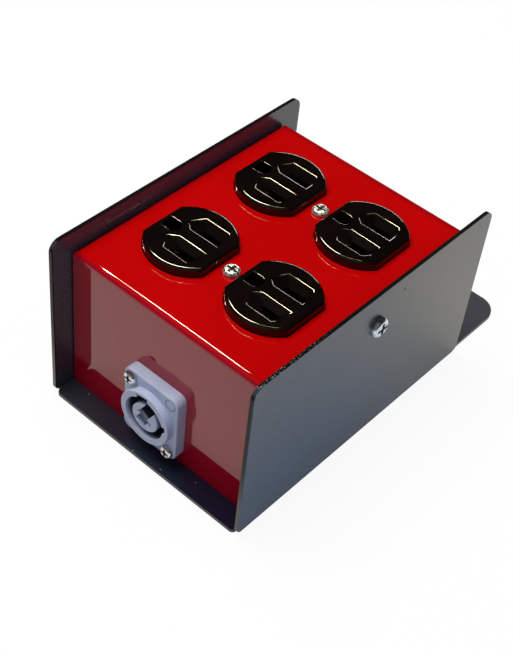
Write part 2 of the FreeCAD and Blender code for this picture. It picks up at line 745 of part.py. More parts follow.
PIN_ANGLES = ("post_angle", "(post_angle + 120)", "(post_angle + 240)")


def make_connector(name, sign):
    """A panel connector. Its own frame has the outer face of the cover at y = 0 and looks along -Y."""
    turn = 0 if sign == "-" else 180
    middle = f"{sign}connector_shift"
    spot = {"x": middle, "y": f"{sign}cover_length / 2", "z": "connector_height", "turn": turn}
    place(make_shell(f"{name}_shell"), **spot)
    place(make_insert(f"{name}_insert"), **spot)
    pins = [place(make_pin(angle), **spot) for angle in PIN_ANGLES]
    group(f"{name}_contacts", pins)
    sleeves = [place(make_sleeve(angle), **spot) for angle in PIN_ANGLES]
    group(f"{name}_push_on_terminals", sleeves)
    outward = Vector(0, -1, 0) if sign == "-" else Vector(0, 1, 0)
    size = ("flange_shank", "flange_reach", "flange_head", "flange_head_rise")
    nuts = []
    for label, (up, side) in zip(("upper", "lower"), flange_corners(sign)):
        x = f"{middle} {side} flange_pitch_x / 2"
        z = f"connector_height {up} flange_pitch_z / 2"
        screw = make_screw(f"{name}_screw_{label}", *size)
        seat(screw, outward, x=x, y=f"{sign}(cover_length / 2 + flange_depth)", z=z)
        nuts.append(place(make_hex_nut(), x=x, y=f"{sign}(cover_length / 2 - cover_gauge)", z=z, turn=turn))
    group(f"{name}_nuts", nuts)


def make_hex_nut():
    nut = new_body("hex_nut")
    half, corner = "hex_flats / 2", "hex_flats / 2 / cos(30)"
    points = [(corner, "0"), (f"{corner} / 2", half), (f"-{corner} / 2", half),
              (f"-{corner}", "0"), (f"-{corner} / 2", f"-{half}"), (f"{corner} / 2", f"-{half}")]
    pad(nut, outline(new_sketch(nut, "XZ_Plane"), points), "hex_depth", reverse=True)
    rod(nut, "y", "flange_shank + 2 * thread_gap", ("0", "hex_depth"), cut=True)
    return nut


def make_shell(label):
    body = new_body(label)
    wide, high = "flange_width / 2", "flange_height / 2"
    pad(body, rectangle(new_sketch(body, "XZ_Plane"), (f"-{wide}", wide), (f"-{high}", high)), "flange_depth")
    soften(body, "flange_corner", lambda at, along: lengthwise(along))
    soften(body, "flange_edge", lambda at, along: near(at.y, "-flange_depth"))
    rod(body, "y", "bezel_diameter", (f"-{FRONT}", "0"))
    soften(body, "bezel_edge", lambda at, along: near(at.y, f"-{FRONT}"))
    rod(body, "y", "barrel_diameter", ("0", "barrel_depth"))
    rod(body, "y", "mouth_diameter", (f"-{FRONT}", "barrel_depth"), cut=True)
    # keyways of the mouth, at the top and at the right
    reach = "(mouth_diameter / 2 + key_depth)"
    back = "(barrel_depth - insert_base)"
    for key, angle in (("wide_key", "wide_key_angle"), ("narrow_key", "narrow_key_angle")):
        block(body, ("0", reach), (f"-{FRONT}", back), (f"-{key} / 2", f"{key} / 2"), cut=True, spin=angle)
    for up, side in flange_corners("-"):
        rod(body, "y", "flange_hole", ("-flange_depth", "0"), x=f"{side}flange_pitch_x / 2",
            z=f"{up}flange_pitch_z / 2", cut=True)
    # blank screw place at the upper right and slit at the lower left
    x, z = "flange_pitch_x / 2", "flange_pitch_z / 2"
    ring = new_sketch(body, "XZ_Plane", "flange_depth")
    circle(ring, x, z, "2 * blank_radius")
    circle(ring, x, z, "2 * (blank_radius - blank_groove)")
    pocket(body, ring, "blank_groove")
    block(body, (f"-{x} - slit_length / 2", f"-{x} + slit_length / 2"),
          ("-flange_depth", "blank_groove - flange_depth"),
          (f"-{z} - slit_width / 2", f"-{z} + slit_width / 2"), cut=True)
    return keep(body, label)


def make_insert(label):
    """The inner post on its base, with the wide slot, its shelf and the cross slot."""
    body = new_body(label)
    back = "(barrel_depth - insert_base)"
    tip = f"(-{FRONT} + post_setback)"
    rod(body, "y", "mouth_diameter - 2 * thread_gap", (back, "barrel_depth"))
    rod(body, "y", "post_diameter", (tip, back))
    soften(body, "post_edge", lambda at, along: near(at.y, tip))
    edge = "post_diameter / 2"
    slot = ("-post_slot / 2", "post_slot / 2")
    aside = tuple(f"{side} + post_slot_shift" for side in slot)
    block(body, ("0", edge), (tip, f"{tip} + post_slot_depth"), aside, cut=True, spin="post_angle")
    shelf = (tip, f"{tip} + post_shelf_depth")
    block(body, ("-post_shelf_reach", "0"), shelf, slot, cut=True, spin="post_angle")
    block(body, ("-post_cross / 2", "post_cross / 2"), (tip, f"{tip} + post_slot_depth"),
          ("-post_cross_length / 2", "post_cross_length / 2"), cut=True, spin="post_angle")
    for angle in PIN_ANGLES:
        block(body, ("pin_ring - pin_gauge / 2 - thread_gap", edge), (f"{tip} + pin_skin", "barrel_depth"),
              ("-pin_width / 2 - thread_gap", "pin_width / 2 + thread_gap"), cut=True, spin=angle)
    return keep(body, label)


def make_pin(angle):
    """A flat contact along the post, with a tail behind the insert."""
    pin = new_body("pin")
    block(pin, ("pin_ring - pin_gauge / 2", "pin_ring + pin_gauge / 2"),
          (f"-{FRONT} + post_setback + pin_setback", "barrel_depth + pin_tail"),
          ("-pin_width / 2", "pin_width / 2"), spin=angle)
    return pin


def make_sleeve(angle):
    """A push-on terminal over a contact's tail."""
    sleeve = new_body("sleeve")
    start = "(barrel_depth + pin_tail - sleeve_length)"
    stop = "(barrel_depth + pin_tail + sleeve_wall)"
    thick = "(pin_gauge / 2 + thread_gap)"
    wide = "(pin_width / 2 + thread_gap)"
    block(sleeve, (f"pin_ring - {thick} - sleeve_wall", f"pin_ring + {thick} + sleeve_wall"), (start, stop),
          (f"-{wide} - sleeve_wall", f"{wide} + sleeve_wall"), spin=angle)
    block(sleeve, (f"pin_ring - {thick}", f"pin_ring + {thick}"), (start, "barrel_depth + pin_tail"),
          (f"-{wide}", wide), cut=True, spin=angle)
    return sleeve


def route(points, diameter):
    """A tube along straight runs joined by tangent arcs."""
    edges = []
    here = points[0]
    for before, at, after in zip(points, points[1:], points[2:]):
        back, onward = before - at, after - at
        run = BEND_SHARE * min(back.Length, onward.Length)
        back.normalize()
        onward.normalize()
        start, stop = at + back * run, at + onward * run
        middle_way = back + onward
        turn = math.pi - back.getAngle(onward)
        radius = run / math.tan(turn / 2)
        middle_way.normalize()
        crown = at + middle_way * (radius / math.cos(turn / 2) - radius)
        edges.append(Part.LineSegment(here, start).toShape())
        edges.append(Part.Arc(start, crown, stop).toShape())
        here = stop
    edges.append(Part.LineSegment(here, points[-1]).toShape())
    path = Part.Wire(edges)
    section = Part.Wire(Part.Circle(points[0], points[1] - points[0], diameter / 2).toShape())
    return path.makePipeShell([section], True, False)


def strand(start, stop):
    return Part.makeCylinder(value("strand_diameter / 2"), (stop - start).Length, start, stop - start)


def tail_end(sign, number):
    """The free end of a push-on terminal, at the link (-1) or inlet (1) end."""
    angle = math.radians(value(PIN_ANGLES[number]))
    across = -value("connector_shift") + value("pin_ring") * math.cos(angle)
    depth = value("cover_length / 2 - barrel_depth - pin_tail - sleeve_wall")
    height = value("connector_height") + value("pin_ring") * math.sin(angle)
    return Vector(-sign * across, sign * depth, height)


def half_turn(vector):
    return Vector(-vector.x, -vector.y, vector.z)


def make_wire_group(label, wires):
    solids = []
    for points, bare in wires:
        wire = route(points, value("wire_diameter"))
        for start, stop in bare:
            wire = wire.fuse(strand(start, stop))
        solids.append(wire.removeSplitter())
    bundle = doc.addObject("Part::Feature", label)
    bundle.Shape = Part.makeCompound(solids)
    return keep(bundle, label)


def make_wires():
    """Neutral wires, the same turned half round for the line, and the ground wires."""
    outlet = value("duplex_pitch / 2")
    clamp = value(f"body_width / 2 + contact_gauge + {CLAMP} / 2")
    aside = value("terminal_shank / 2 + strand_diameter / 2 + seat_gap")
    outer, inner = value("terminal_pitch / 2") + aside, value("terminal_pitch / 2") - aside
    low = value(f"{CHAMBER_FLOOR} - wire_diameter / 2")
    high = value(f"{CHAMBER_FLOOR} + terminal_height")
    under = value(f"{PLATE_UNDER} - body_depth - wire_diameter")
    rear, front = outlet + clamp, clamp - outlet
    inlet, link = tail_end(1, 1), tail_end(-1, 2)
    lead, rise = value("wire_lead"), value("wire_rise")
    up = Vector(0, 0, high - low)
    corners = {"a": (outer, rear), "b": (-inner, rear), "c": (-inner, front), "d": (outer, front)}
    ends = {name: Vector(x, y, low) for name, (x, y) in corners.items()}
    neutral = [
        ([inlet, inlet - Vector(0, lead, 0),
          Vector(value("wire_aside"), inlet.y - lead - value("wire_bend"), inlet.z + rise),
          Vector(value("wire_aside + wire_bow"), inlet.y, inlet.z + 3 * rise),
          Vector(outer, rear, low - value("wire_drop")), ends["a"]],
         [(ends["a"], ends["a"] + up)]),
        ([ends["b"], Vector(-inner, rear, under), Vector(-inner, front, under), ends["c"]],
         [(ends["b"], ends["b"] + up), (ends["c"], ends["c"] + up)]),
        ([ends["d"], Vector(outer, front, (low + link.z) / 2), link + Vector(0, lead, 0), link],
         [(ends["d"], ends["d"] + up)]),
    ]
    line = []
    for points, bare in neutral:
        line.append(([half_turn(at) for at in points], [(half_turn(at), half_turn(to)) for at, to in bare]))
    make_wire_group("neutral_wires", neutral)
    make_wire_group("line_wires", line)
    make_ground_wires(outlet)


def make_ground_wires(outlet):
    """A wire from each connector to a strap's bonding screw, and one from strap to strap."""
    ear = value(EAR)
    beside = value("bond_shank / 2 + strand_diameter / 2 + seat_gap")
    level = value(f"{STRAP_UNDER} - {CLAMP} / 2")
    half = value("strap_width / 2 + wire_diameter / 2")
    rise = value("wire_rise")
    wires = []
    for sign in (1, -1):
        lead = Vector(0, sign * value("wire_lead"), 0)
        start = tail_end(sign, 0)
        stop = Vector(ear + beside, sign * (outlet - half), level)
        turn = start - lead
        points = [start, turn, Vector(value("wire_aside"), turn.y, start.z + 2 * rise),
                  Vector(stop.x - value("wire_bow"), stop.y - lead.y, start.z + 3 * rise), stop - lead, stop]
        wires.append((points, [(stop, stop + Vector(0, 2 * half * sign, 0))]))
    jumper = [Vector(ear - beside, y, level) for y in (outlet - half, half - outlet)]
    bare = [(jumper[0], jumper[0] + Vector(0, 2 * half, 0)), (jumper[1], jumper[1] - Vector(0, 2 * half, 0))]
    wires.append((jumper, bare))
    make_wire_group("ground_wires", wires)


def write_parts():
    doc.recompute()
    failed = [item.Name for item in doc.Objects if {"Invalid", "Error"} & set(item.State)]
    failed += [piece.Label for piece in PIECES if piece.Shape.isNull() or not piece.Shape.isValid()]
    if failed:
        raise RuntimeError(f"failed: {failed}")
    os.makedirs("parts", exist_ok=True)
    for piece in PIECES:
        piece.Shape.exportStep(f"parts/{piece.Label}.step")
        print(piece.Label, len(piece.Shape.Solids), round(piece.Shape.Volume, 2))


make_cradle()
make_cover()
make_side_screws()
make_outlet("front_outlet", "-duplex_pitch / 2")
make_outlet("rear_outlet", "duplex_pitch / 2")
make_connector("link", "-")
make_connector("inlet", "")
make_wires()
write_parts()
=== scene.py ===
import json
import math

import bpy
from mathutils import Euler, Matrix, Vector


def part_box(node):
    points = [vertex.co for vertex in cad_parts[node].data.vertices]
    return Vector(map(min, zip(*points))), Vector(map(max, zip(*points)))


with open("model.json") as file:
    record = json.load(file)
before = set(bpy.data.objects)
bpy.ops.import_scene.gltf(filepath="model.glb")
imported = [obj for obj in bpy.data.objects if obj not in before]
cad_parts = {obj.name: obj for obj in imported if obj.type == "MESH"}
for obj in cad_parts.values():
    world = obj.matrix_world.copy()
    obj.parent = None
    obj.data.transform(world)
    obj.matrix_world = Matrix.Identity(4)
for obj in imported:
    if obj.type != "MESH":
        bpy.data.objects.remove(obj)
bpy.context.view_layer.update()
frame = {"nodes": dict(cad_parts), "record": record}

MM = 0.001

# Faces of the two bent sheets, from the frame.
cradle_low, cradle_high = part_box("cradle")
WALL_RIGHT = cradle_high.x
WALL_NEAR = cradle_low.y
WALL_TOP = cradle_high.z
TAB_START = -WALL_NEAR
cover_low, cover_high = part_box("top_cover")
COVER_NEAR = cover_low.y
COVER_FAR = cover_high.y
COVER_TOP = cover_high.z

# The near panel connector's axis and mouth, and the small blank ring on its flange.
# The far connector is the same, turned half round.
shell_low, shell_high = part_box("link_shell")
SOCKET_ACROSS = (shell_low.x + shell_high.x) / 2
SOCKET_UP = (shell_low.z + shell_high.z) / 2
SOCKET_MOUTH = -shell_low.y
SOCKET_RADIUS = 9.0 * MM
RING_ACROSS = SOCKET_ACROSS + 9.5 * MM
RING_UP = SOCKET_UP + 12.0 * MM
RING_RADIUS = 2.3 * MM

# A small pit in the enamel, high on the right wall.
PIT = (WALL_RIGHT, 13.2 * MM, 68.0 * MM)


class Signal:
    """A value on its way through a finish. Arithmetic on it adds Math nodes."""

    def __init__(self, finish, socket):
        self.finish = finish
        self.socket = socket

    def math(self, operation, *values):
        return self.finish.node("Math", {"operation": operation}, dict(enumerate(values)))

    def __add__(self, other):
        return self.math("ADD", self, other)

    __radd__ = __add__

    def __sub__(self, other):
        return self.math("SUBTRACT", self, other)

    def __rsub__(self, other):
        return self.math("SUBTRACT", other, self)

    def __mul__(self, other):
        return self.math("MULTIPLY", self, other)

    __rmul__ = __mul__

    def high(self, other):
        return self.math("MAXIMUM", self, other)

    def size(self):
        return self.math("ABSOLUTE", self)

    def sign(self):
        return self.math("SIGN", self)

    def root(self):
        return self.math("SQRT", self)

    def between(self, start, stop, low=0.0, high=1.0):
        """Smooth change from low to high as the value goes from start to stop."""
        sockets = {"Value": self, 1: start, 2: stop, 3: low, 4: high}
        return self.finish.node("MapRange", {"interpolation_type": "SMOOTHSTEP"}, sockets)


class Finish:
    """The nodes of a material, in metres of the piece's own frame, or of the room."""

    def __init__(self, owner, place="Object"):
        owner.use_nodes = True
        self.owner = owner
        self.tree = owner.node_tree
        self.tree.nodes.clear()
        self.spot = self.node("TexCoord", output=place)

    def node(self, kind, settings=None, sockets=None, output=0):
        """Any node: its settings first, then the values or links of its sockets."""
        made = self.tree.nodes.new("ShaderNode" + kind)
        for name, setting in (settings or {}).items():
            setattr(made, name, setting)
        for name, given in (sockets or {}).items():
            if isinstance(given, Signal):
                self.tree.links.new(given.socket, made.inputs[name])
            else:
                made.inputs[name].default_value = given
        return Signal(self, made.outputs[output]) if len(made.outputs) else None

    def axes(self):
        """The place on the piece, as X, Y and Z."""
        parts = self.node("SeparateXYZ", sockets={0: self.spot}).socket.node
        return [Signal(self, socket) for socket in parts.outputs]

    def noise(self, pitch, detail=2.0, rough=0.5, stretch=None):
        """Noise whose grain is about pitch metres, from 0 to 1."""
        where = self.spot
        if stretch:
            where = self.node("VectorMath", {"operation": "MULTIPLY"}, {0: where, 1: stretch})
        sockets = {"Vector": where, "Scale": 1 / pitch, "Detail": detail, "Roughness": rough}
        return self.node("TexNoise", sockets=sockets)

    def cells(self, pitch):
        """Distance to the nearest of many scattered points, as a share of their pitch."""
        return self.node("TexVoronoi", sockets={"Vector": self.spot, "Scale": 1 / pitch})

    def away(self, point):
        """Distance in metres from a point."""
        sockets = {0: self.spot, 1: point}
        return self.node("VectorMath", {"operation": "DISTANCE"}, sockets, output="Value")

    def toward(self, direction):
        """In the room, how nearly a ray goes in a direction: about 1 along it, 0 across it."""
        sockets = {0: self.spot, 1: direction}
        return self.node("VectorMath", {"operation": "DOT_PRODUCT"}, sockets, output="Value")

    def ray(self, kind):
        """1 on rays of one kind, else 0."""
        return self.node("LightPath", output=f"Is {kind} Ray")

    def blend(self, share, first, second):
        """A colour between two colours."""
        sockets = {0: share, 6: opaque(first), 7: opaque(second)}
        return self.node("Mix", {"data_type": "RGBA"}, sockets, output=2)

    def bump(self, height, depth, under=None):
        """Normals for a height from 0 to 1 that is depth metres deep."""
        sockets = {"Strength": 1.0, "Distance": depth, "Height": height}
        if under:
            sockets["Normal"] = under
        return self.node("Bump", sockets=sockets)

    def surface(self, **sockets):
        """Close the finish with its shader and return the material."""
        named = {SOCKETS[name]: given for name, given in sockets.items()}
        shader = self.node("BsdfPrincipled", sockets=named)
        self.node("OutputMaterial", sockets={"Surface": shader})
        return self.owner


SOCKETS = {
    "base": "Base Color",
    "rough": "Roughness",
    "metal": "Metallic",
    "ior": "IOR",
    "normal": "Normal",
}


def opaque(given):
    return given if isinstance(given, Signal) else (*given, 1.0)


def darker(colour, share):
    return tuple(share * part for part in colour)


def distance(across, up):
    """How far a place is from an axis, given how far it is across and up from it."""
    return (across * across + up * up).root()


def new_finish(name):
    return Finish(bpy.data.materials.new(name))


def red_enamel():
    """Thick gloss enamel on bent sheet: deep red, faint orange peel, a slow wave in the sheet, painted
    shade with a bluish painted reflection on the near flange, and painted shade on the far bend.
    """
    finish = new_finish("red_enamel")
    _, y, z = finish.axes()
    cloud = finish.noise(40 * MM, 3)
    peel = finish.noise(2.2 * MM, 2, 0.4)
    wave = finish.noise(26 * MM, 1)
    dust = finish.cells(7 * MM).between(0.05, 0.02) * finish.noise(9 * MM).between(0.55, 0.7)
    # Painted shade with a bluish painted reflection on the near flange.
    near_flange_shade = y.between(COVER_NEAR + 1.5 * MM, COVER_NEAR + 0.2 * MM)
    # Painted shade along the far bend.
    far_end = y.between(COVER_FAR - 6 * MM, COVER_FAR - 1 * MM)
    far_bend_shade = far_end * z.between(COVER_TOP - 5.1 * MM, COVER_TOP - 1.1 * MM)
    base = finish.blend(cloud.between(0.3, 0.7), (0.46, 0.0004, 0.0008), (0.51, 0.0006, 0.0012))
    # Painted shade and a bluish painted reflection on the near flange.
    base = finish.blend(near_flange_shade, base, (0.40, 0.0006, 0.014))
    # Painted shade on the far bend.
    base = finish.blend(far_bend_shade * 0.8, base, (0.26, 0.0006, 0.004))
    base = finish.blend(dust * 0.25, base, (0.62, 0.30, 0.28))
    rough = cloud.between(0.3, 0.8, 0.03, 0.05) + dust * 0.2
    normal = finish.bump(peel, 4.0e-6, finish.bump(wave, 20e-6))
    return finish.surface(base=base, rough=rough, normal=normal, ior=1.55)


def black_enamel():
    """Satin black enamel: fine pebble, a little dust and a few chips, painted shade on the sheet edges with
    the near ends darkened by turning them metallic, painted reflections on the right wall, painted blue
    shade on the near base and painted light on the tab.
    """
    finish = new_finish("black_enamel")
    x, y, z = finish.axes()
    cloud = finish.noise(30 * MM, 3)
    pebble = finish.noise(0.9 * MM, 2, 0.5)
    wave = finish.noise(38 * MM, 1)
    # Places on the sheet.
    flat = z.between(4 * MM, 2 * MM)
    top_edge = z.between(WALL_TOP - 0.6 * MM, WALL_TOP - 0.1 * MM)
    near_end = y.between(WALL_NEAR + 0.7 * MM, WALL_NEAR + 0.2 * MM) * (1 - flat)
    # Painted shade on the top edges and near ends of the sheet.
    painted_edge_shade = top_edge.high(near_end)
    right_wall = x.between(WALL_RIGHT - 17 * MM, WALL_RIGHT - 3 * MM)
    # Painted reflections on the right wall: bluish low at the front, warmer and lighter at the far end.
    right_low_reflection = right_wall * z.between(84 * MM, 5 * MM) * y.between(60 * MM, -30 * MM)
    right_far_reflection = right_wall * y.between(-40 * MM, 60 * MM)
    # Painted blue shade on the near part of the base.
    near_base_blue_shade = flat * y.between(40 * MM, -60 * MM) * x.between(-60 * MM, 40 * MM)
    near_strip = flat * y.between(WALL_NEAR + 13 * MM, WALL_NEAR + 7 * MM)
    # Painted light on the tab.
    tab_painted_light = flat * y.between(TAB_START - 5 * MM, TAB_START + 5 * MM)
    # Dust and wear, and painted shade on the near ends.
    dust = finish.cells(4.5 * MM).between(0.06, 0.03) * finish.noise(9 * MM).between(0.56, 0.68)
    speck = near_strip * finish.cells(5 * MM).between(0.075, 0.05)
    near_right = x.between(WALL_RIGHT - 7 * MM, WALL_RIGHT - 1 * MM) * y.between(-20 * MM, -55 * MM)
    chips = top_edge * near_right * finish.noise(0.6 * MM, 3, 0.6).between(0.57, 0.63)
    pit = finish.away(PIT).between(0.8 * MM, 0.5 * MM)
    # Painted shade: most of each near end turns metallic, which darkens it.
    near_end_dark_metal = near_end * z.between(8 * MM, 40 * MM) * 0.9
    # Colour, gloss and grain.
    base = finish.blend(cloud.between(0.3, 0.7), (0.034, 0.036, 0.050), (0.043, 0.045, 0.061))
    # Painted reflections on the right wall.
    base = finish.blend(right_low_reflection, base, (0.021, 0.030, 0.068))
    base = finish.blend(right_far_reflection, base, (0.082, 0.074, 0.060))
    # Painted blue shade on the near base.
    base = finish.blend(near_base_blue_shade, base, (0.003, 0.010, 0.031))
    # Painted light on the tab.
    base = finish.blend(tab_painted_light, base, (0.062, 0.062, 0.072))
    # Painted shade on the sheet edges.
    base = finish.blend(painted_edge_shade * 0.9, base, (0.002, 0.002, 0.003))
    base = finish.blend(dust * 0.3, base, (0.20, 0.21, 0.24))
    base = finish.blend((chips * 0.8).high(speck * 0.7), base, (0.42, 0.40, 0.36))
    base = finish.blend(pit * 0.85, base, (0.004, 0.004, 0.004))
    satin = cloud.between(0.25, 0.8, 0.20, 0.28) * (1 - painted_edge_shade * 0.5)
    rough = satin + pebble * 0.03 + dust * 0.1 + chips * 0.3 + pit * 0.3
    normal = finish.bump(pebble, 3.0e-6, finish.bump(wave, 18e-6))
    return finish.surface(base=base, rough=rough, metal=near_end_dark_metal, normal=normal, ior=1.68)


def outlet_black():
    """Polished black moulding with a slightly warm depth and fine flow marks."""
    finish = new_finish("outlet_black")
    flow = finish.noise(9 * MM, 3, stretch=(1.0, 0.35, 1.0))
    ripple = finish.noise(4 * MM, 2)
    scuff = finish.noise(1.6 * MM, 4, 0.7).between(0.58, 0.75)
    base = finish.blend(flow.between(0.3, 0.7), (0.0034, 0.0014, 0.0012), (0.0054, 0.0023, 0.0019))
    rough = flow.between(0.2, 0.8, 0.038, 0.064) + scuff * 0.03
    normal = finish.bump(ripple, 6e-6)
    return finish.surface(base=base, rough=rough, normal=normal, ior=1.54)


def socket_shade(finish):
    """Painted shade in either panel connector's socket: from 0 at the mouth to 1 deep in it; 0 outside the
    round socket.
    """
    x, y, z = finish.axes()
    off_axis = distance(x * y.sign() + SOCKET_ACROSS, z - SOCKET_UP)
    inside = off_axis.between(SOCKET_RADIUS + 0.4 * MM, SOCKET_RADIUS + 0.15 * MM)
    return inside * y.size().between(SOCKET_MOUTH - 0.4 * MM, SOCKET_MOUTH - 2.9 * MM)


def ring_groove_shade(finish):
    """Painted shade in the groove of the small ring on either panel connector's flange: 1 there, else 0."""
    x, y, z = finish.axes()
    off_line = (distance(x * y.sign() + RING_ACROSS, z - RING_UP) - RING_RADIUS).size()
    proud = y.size().between(COVER_FAR + 1 * MM, COVER_FAR + 2 * MM)
    return off_line.between(0.30 * MM, 0.14 * MM) * proud


def moulded(name, first, second, rough, depth):
    """Satin moulding: two close tints in slow clouds, with a fine spark-eroded grain, and painted shade in
    the panel connectors' sockets and flange ring grooves.
    """
    finish = new_finish(name)
    cloud = finish.noise(8 * MM, 3)
    grain = finish.noise(0.35 * MM, 2, 0.6)
    # Dirt in slow patches.
    soil_and_shade = finish.noise(2.4 * MM, 4, 0.65).between(0.56, 0.74)
    base = finish.blend(cloud.between(0.3, 0.7), first, second)
    base = finish.blend(soil_and_shade * 0.18, base, darker(first, 0.45))
    # Painted shade deep in either panel connector's socket.
    base = finish.blend(socket_shade(finish) * 0.95, base, darker(first, 0.04))
    # Painted shade in the groove of the flange ring.
    base = finish.blend(ring_groove_shade(finish) * 0.6, base, darker(first, 0.2))
    shine = cloud.between(0.2, 0.8, rough - 0.05, rough + 0.05) + soil_and_shade * 0.06
    return finish.surface(base=base, rough=shine, normal=finish.bump(grain, depth))


def plated(name, first, second, rough, depth, frost=0.0, screw=None):
    """Plated or unplated metal: slight tone clouds, fine tool marks and a dulled or frosted film in places;
    on a screw, painted shade in its cross recess.
    """
    finish = new_finish(name)
    cloud = finish.noise(3 * MM, 3, 0.6)
    marks = finish.noise(0.5 * MM, 3, 0.6)
    film = finish.noise(1.1 * MM, 4, 0.7).between(0.5, 0.8)
    base = finish.blend(cloud.between(0.3, 0.75), first, second)
    shine = cloud.between(0.2, 0.8, rough * 0.75, rough * 1.25) + film * 0.1
    metal = 1.0
    if frost:
        metal = 1 - finish.noise(0.8 * MM, 2, 0.6).between(0.4, 0.62) * frost
    # Painted shade down in the screw's cross recess: darker, rougher and less metallic there.
    if screw:
        soil_and_shade = recess(finish, screw)
        base = finish.blend(soil_and_shade * 0.9, base, (0.012, 0.012, 0.016))
        shine = shine + soil_and_shade * 0.3
        metal = metal * (1 - soil_and_shade * 0.8)
    return finish.surface(base=base, rough=shine, metal=metal, normal=finish.bump(marks, depth))


def sleeve(name, first, second):
    """Extruded wire insulation with faint lengthwise lines."""
    finish = new_finish(name)
    lines = finish.noise(0.7 * MM, 2, stretch=(1.0, 0.12, 0.12))
    base = finish.blend(finish.noise(5 * MM).between(0.3, 0.7), first, second)
    rough = lines.between(0.2, 0.8, 0.36, 0.5)
    return finish.surface(base=base, rough=rough, normal=finish.bump(lines, 6e-6))


FINISHES = {
    "red_paint": red_enamel(),
    "black_paint": black_enamel(),
    "black_nylon": outlet_black(),
    "dark_moulding": moulded("dark_moulding", (0.018, 0.018, 0.02), (0.03, 0.03, 0.033), 0.42, 5e-6),
    "grey_plastic": moulded("grey_plastic", (0.49, 0.53, 0.69), (0.55, 0.59, 0.75), 0.33, 3e-6),
    "blue_plastic": moulded("blue_plastic", (0.012, 0.075, 0.34), (0.016, 0.10, 0.42), 0.33, 3e-6),
    "plated_steel": plated("plated_steel", (0.52, 0.52, 0.54), (0.64, 0.63, 0.6), 0.28, 3e-6),
    "brass": plated("brass", (0.62, 0.42, 0.16), (0.74, 0.53, 0.23), 0.25, 3e-6),
    "nickel": plated("nickel", (0.62, 0.58, 0.52), (0.72, 0.68, 0.62), 0.2, 2e-6),
    "green_paint": plated("green_screw", (0.05, 0.22, 0.08), (0.08, 0.3, 0.12), 0.3, 3e-6),
    "black_sleeve": sleeve("black_sleeve", (0.012, 0.012, 0.013), (0.02, 0.02, 0.021)),
    "white_sleeve": sleeve("white_sleeve", (0.66, 0.65, 0.6), (0.74, 0.73, 0.69)),
    "green_sleeve": sleeve("green_sleeve", (0.02, 0.18, 0.05), (0.03, 0.24, 0.07)),
}

# For each screw with a cross recess: the axis that it lies along, and the end of it that has the head.
HEADS = {
    "front_outlet_screw": (2, 1),
    "rear_outlet_screw": (2, 1),
    "side_screw_left": (0, -1),
    "side_screw_right": (0, 1),
    "link_screw_upper": (1, -1),
    "link_screw_lower": (1, -1),
    "inlet_screw_upper": (1, 1),
    "inlet_screw_lower": (1, 1),
}

# Two kinds of zinc: dark and light tone, roughness, depth of the tool marks, and share of frost.
BRIGHT_ZINC = ((0.60, 0.62, 0.68), (0.84, 0.85, 0.88), 0.2, 8e-6, 0.15)
SPECKLED_ZINC = ((0.38, 0.38, 0.38), (0.9, 0.9, 0.88), 0.22, 14e-6, 0.6)


def recess(finish, name):
    """1 down in the cross recess of a screw's head, 0 on the rest of the screw."""
    axis, end = HEADS[name]
    low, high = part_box(name)
    middle = (low + high) / 2
    place = finish.axes()
    depth = ((high if end > 0 else low)[axis] - place[axis]) * end
    first, second = [way for way in range(3) if way != axis]
    radius = (high[first] - low[first]) / 2
    off_axis = distance(place[first] - middle[first], place[second] - middle[second])
    inside = off_axis.between(0.76 * radius, 0.70 * radius)
    return inside * depth.between(0.15 * MM, 0.45 * MM) * depth.between(1.5 * MM, 1.3 * MM)


def screw_zinc(name):
    """Zinc for one screw, with painted shade in its recess; the outlet screws are the more speckled ones.
    """
    zinc = SPECKLED_ZINC if "outlet" in name else BRIGHT_ZINC
    return plated(name + "_zinc", *zinc, screw=name)


SCREWS = {name: screw_zinc(name) for name in HEADS}
SLOT_OF = {row["node"]: row["material_slot"] for row in frame["record"]["subparts"]}

# The round on the painted edges of the two sheets and on the edges of other pieces.
SHEET_ROUND = {"cradle": 0.22 * MM, "top_cover": 0.2 * MM}
PLAIN_ROUND = 0.12 * MM
# Faces that meet at more than this angle have a sharp edge, and points this near are one.
SHARP = math.radians(42)
SAME_POINT = 1e-6


def dress(name, node):
    """Give a solid its finish, and its sharp edges the small round that paint or moulding leaves."""
    node.data.materials.clear()
    node.data.materials.append(SCREWS.get(name) or FINISHES[SLOT_OF[name]])
    for face in node.data.polygons:
        face.material_index = 0
        face.use_smooth = True
    weld = node.modifiers.new("weld", "WELD")
    weld.merge_threshold = SAME_POINT
    edge = node.modifiers.new("edge", "BEVEL")
    edge.width = SHEET_ROUND.get(name, PLAIN_ROUND)
    edge.segments = 2
    edge.limit_method = "ANGLE"
    edge.angle_limit = SHARP
    edge.use_clamp_overlap = True
    edge.harden_normals = False
    shade = node.modifiers.new("shade", "WEIGHTED_NORMAL")
    shade.keep_sharp = False
    shade.weight = 100


for name, node in frame["nodes"].items():
    dress(name, node)

FLOOR_HALF = 3.0
FLOOR_DROP = 0.05 * MM
FLOOR_CORNERS = ((-1, -1), (1, -1), (1, 1), (-1, 1))


